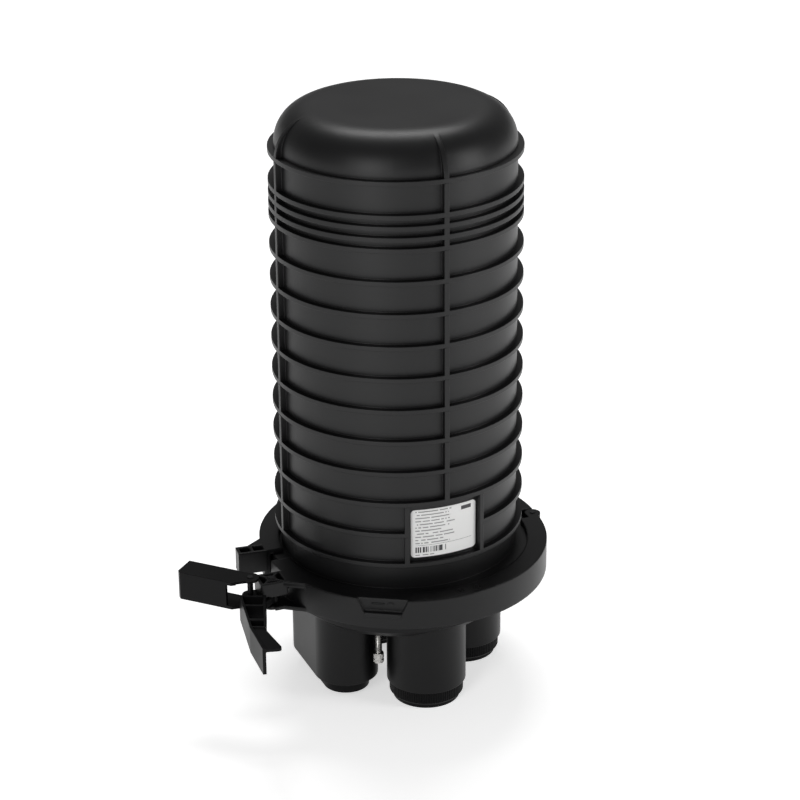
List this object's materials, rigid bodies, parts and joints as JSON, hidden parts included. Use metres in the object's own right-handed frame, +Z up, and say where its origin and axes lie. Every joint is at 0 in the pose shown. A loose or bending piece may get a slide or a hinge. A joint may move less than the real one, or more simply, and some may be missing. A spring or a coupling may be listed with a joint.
{
  "type": "dome splice closure",
  "caption": "Black ribbed dome splice closure with a hinged clamp ring standing open, cable ports with nuts and a valve in its base, and splice trays inside.",
  "frame": {"origin": "centre of the base floor's underside, on the dome's axis", "axes": "+Z up the dome's axis, +X towards the right port, -Y towards the label"},
  "size_m": [0.2706, 0.2168, 0.4207],
  "materials": {
    "black_plastic": "fine moulded texture",
    "seal_rubber": "smooth moulded rubber",
    "plug_plastic": "smooth",
    "label_film": "satin film",
    "steel": "plated",
    "plated_brass": "nickel plate over brass",
    "tray_plastic": "smooth",
    "cover_plastic": "clear sheet"
  },
  "bodies": {
    "closure": {"base_body": "black_plastic", "flange_seal": "seal_rubber", "dome_cover": "black_plastic", "dome_label": "label_film", "clamp_rear_half": "black_plastic", "hinge_pin": "steel", "port_seal_right": "seal_rubber", "port_plug_right": "plug_plastic", "port_seal_rear": "seal_rubber", "port_plug_rear": "plug_plastic", "port_seal_front": "seal_rubber", "port_plug_front": "plug_plastic", "oval_port_cap": "black_plastic", "oval_port_seal": "seal_rubber", "oval_pressure_plate": "black_plastic", "oval_port_plugs": "plug_plastic", "oval_bolt": "steel", "oval_bolt_nut": "steel", "valve_stem": "plated_brass", "valve_nut": "plated_brass", "organizer_frame": "steel", "frame_screws": "steel", "tray_ladder": "tray_plastic", "splice_tray_1": "tray_plastic", "splice_tray_2": "tray_plastic", "splice_tray_3": "tray_plastic", "splice_tray_4": "tray_plastic", "splice_tray_5": "tray_plastic", "tray_pins": "steel", "splice_combs": "seal_rubber", "tray_cover": "cover_plastic", "loop_basket": "tray_plastic", "strength_clamps": "steel", "clamp_screws": "steel", "earth_stud": "steel", "earth_nuts": "steel"},
    "clamp_front": {"clamp_front_half": "black_plastic", "lever_pin": "steel"},
    "lever": {"latch_lever": "black_plastic", "link_pin": "steel"},
    "link": {"latch_link": "black_plastic"},
    "nut_right": {"port_nut_right": "black_plastic"},
    "nut_rear": {"port_nut_rear": "black_plastic"},
    "nut_front": {"port_nut_front": "black_plastic"},
    "cap": {"valve_cap": "plated_brass"}
  },
  "joints": [
    {"name": "clamp_swing", "type": "hinge", "parent": "closure", "child": "clamp_front", "pos_m": [0.09926, -0.0133, 0.03575], "axis": [0, 0, 1], "range_deg": [-4.5, 70]},
    {"name": "lever_swing", "type": "hinge", "parent": "clamp_front", "child": "lever", "pos_m": [-0.10924, -0.03563, 0.03575], "axis": [0, 0, 1], "range_deg": [-5, 60]},
    {"name": "link_swing", "type": "hinge", "parent": "lever", "child": "link", "pos_m": [-0.12344, -0.0326, 0.03835], "axis": [0, 0, 1], "range_deg": [-106, 9]},
    {"name": "nut_right_turn", "type": "hinge", "parent": "closure", "child": "nut_right", "pos_m": [0.05, 0, -0.05], "axis": [0, 0, 1], "continuous": true},
    {"name": "nut_rear_turn", "type": "hinge", "parent": "closure", "child": "nut_rear", "pos_m": [0, 0.05, -0.05], "axis": [0, 0, 1], "continuous": true},
    {"name": "nut_front_turn", "type": "hinge", "parent": "closure", "child": "nut_front", "pos_m": [0, -0.05, -0.05], "axis": [0, 0, 1], "continuous": true},
    {"name": "cap_turn", "type": "hinge", "parent": "closure", "child": "cap", "pos_m": [-0.03599, -0.049, -0.024], "axis": [0, 0, 1], "continuous": true}
  ],
  "couplings": [
    {"joint": "link_swing", "follows": "lever_swing", "ratio": -1.758}
  ]
}
